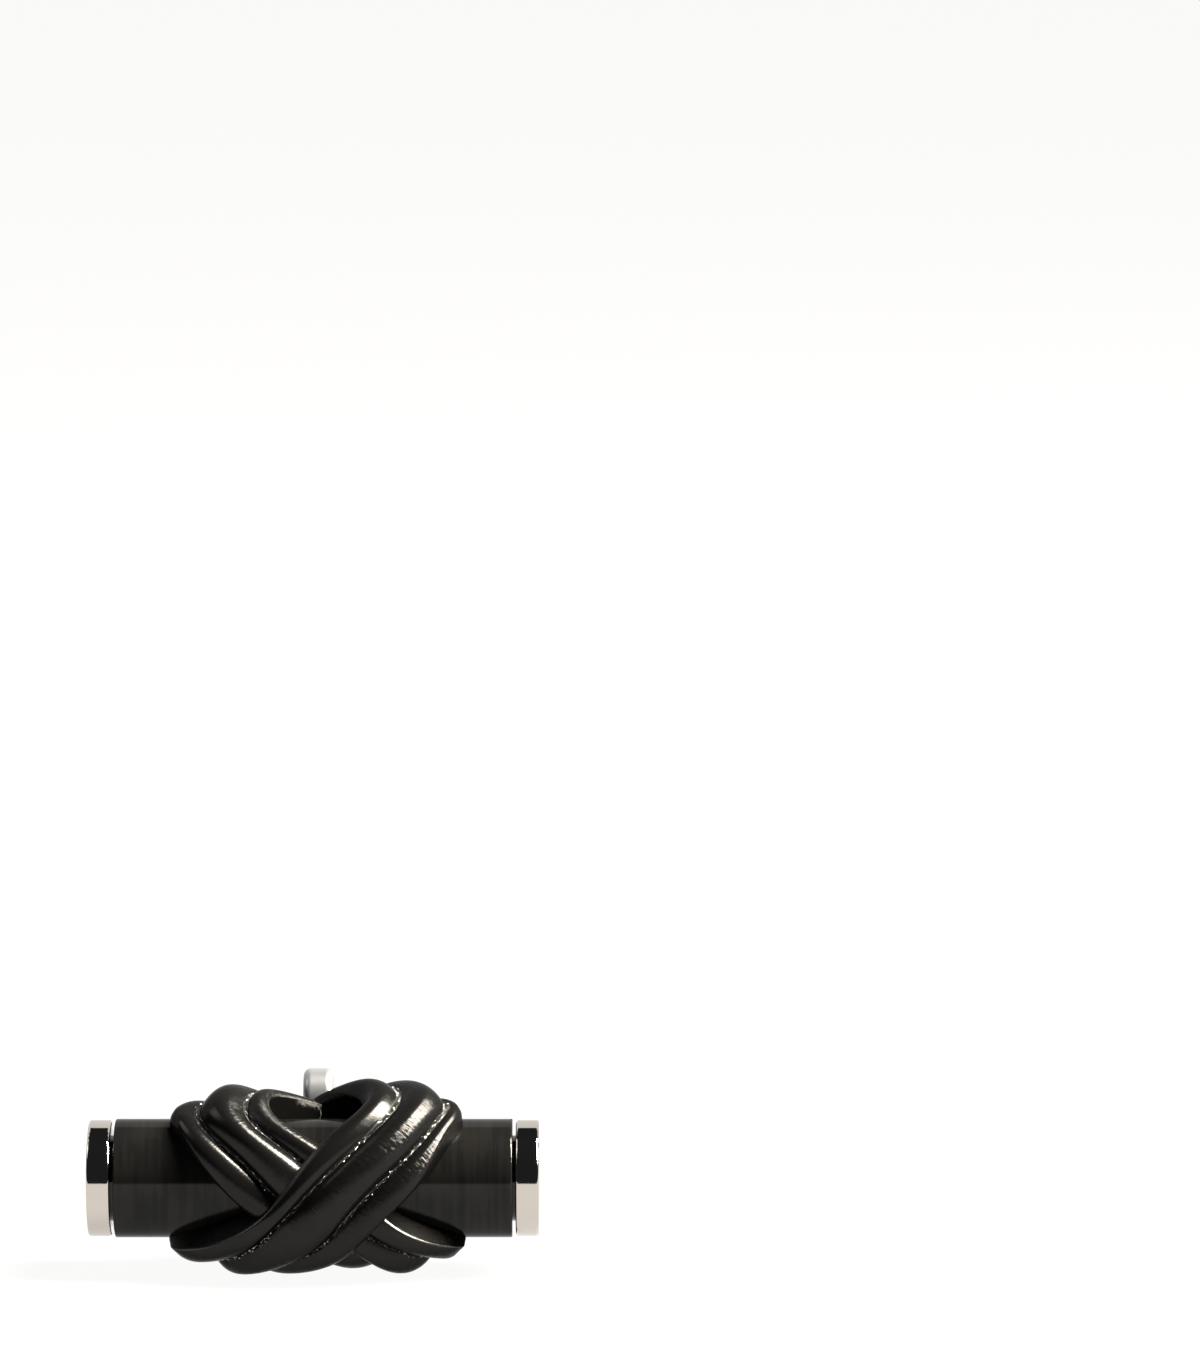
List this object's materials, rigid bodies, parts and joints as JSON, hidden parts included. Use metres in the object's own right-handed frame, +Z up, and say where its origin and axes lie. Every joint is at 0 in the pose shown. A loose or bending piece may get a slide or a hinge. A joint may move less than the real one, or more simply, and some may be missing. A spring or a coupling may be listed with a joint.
{
  "type": "knot cufflink",
  "caption": "Round black bar with polished end caps, held by a cast knot of crossing ribbed bands, with an arched stem and a plain fixed back bar behind.",
  "frame": {"origin": "centre of the cufflink's footprint, on the surface it rests on", "axes": "+X along the bar, -Y towards the viewer of the knot, +Z up"},
  "size_m": [0.0222, 0.0208, 0.0095],
  "materials": {
    "black_bar": "black coated steel, fine brush lines round the bar",
    "polished_silver": "polished",
    "black_knot": "satin black casting, fine brush lines across the ribs and rough grooves",
    "stem_silver": "polished to satin"
  },
  "bodies": {
    "root": {"bar": "black_bar", "end_cap_left": "polished_silver", "end_cap_right": "polished_silver", "knot": "black_knot", "stem": "stem_silver"}
  },
  "joints": []
}
